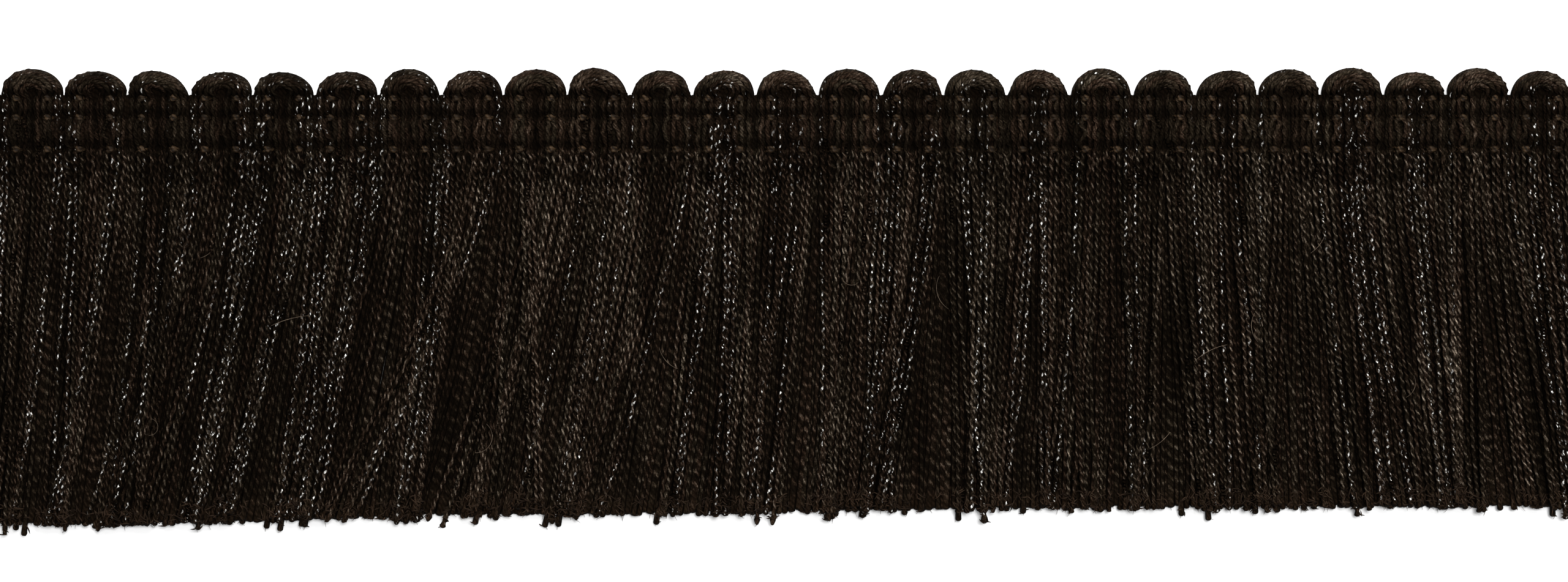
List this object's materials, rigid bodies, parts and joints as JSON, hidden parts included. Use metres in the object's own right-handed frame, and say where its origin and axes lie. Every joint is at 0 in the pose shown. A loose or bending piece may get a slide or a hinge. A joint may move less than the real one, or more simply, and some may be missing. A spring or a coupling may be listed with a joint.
{
  "type": "fringe trim",
  "caption": "Cut yarn fringe with a scalloped heading of looped bundles held by fine binding rows, lying flat on its back.",
  "frame": {"origin": "middle of the trim's footprint, on the surface that it lies on", "axes": "+X along the trim, +Y across it towards the looped edge, +Z out of its face"},
  "size_m": [0.1874, 0.05, 0.003],
  "materials": {
    "yarn": "charcoal two-ply yarn, some plied with a metallic filament",
    "binding_thread": "fine brownish black thread with a slight sheen"
  },
  "bodies": {
    "root": {"bundle_01": "yarn", "bundle_02": "yarn", "bundle_03": "yarn", "bundle_04": "yarn", "bundle_05": "yarn", "bundle_06": "yarn", "bundle_07": "yarn", "bundle_08": "yarn", "bundle_09": "yarn", "bundle_10": "yarn", "bundle_11": "yarn", "bundle_12": "yarn", "bundle_13": "yarn", "bundle_14": "yarn", "bundle_15": "yarn", "bundle_16": "yarn", "bundle_17": "yarn", "bundle_18": "yarn", "bundle_19": "yarn", "bundle_20": "yarn", "bundle_21": "yarn", "bundle_22": "yarn", "bundle_23": "yarn", "bundle_24": "yarn", "bundle_25": "yarn", "bundle_26": "yarn", "bundle_27": "yarn", "binding_top": "binding_thread", "binding_middle": "binding_thread", "binding_bottom": "binding_thread"}
  },
  "joints": []
}
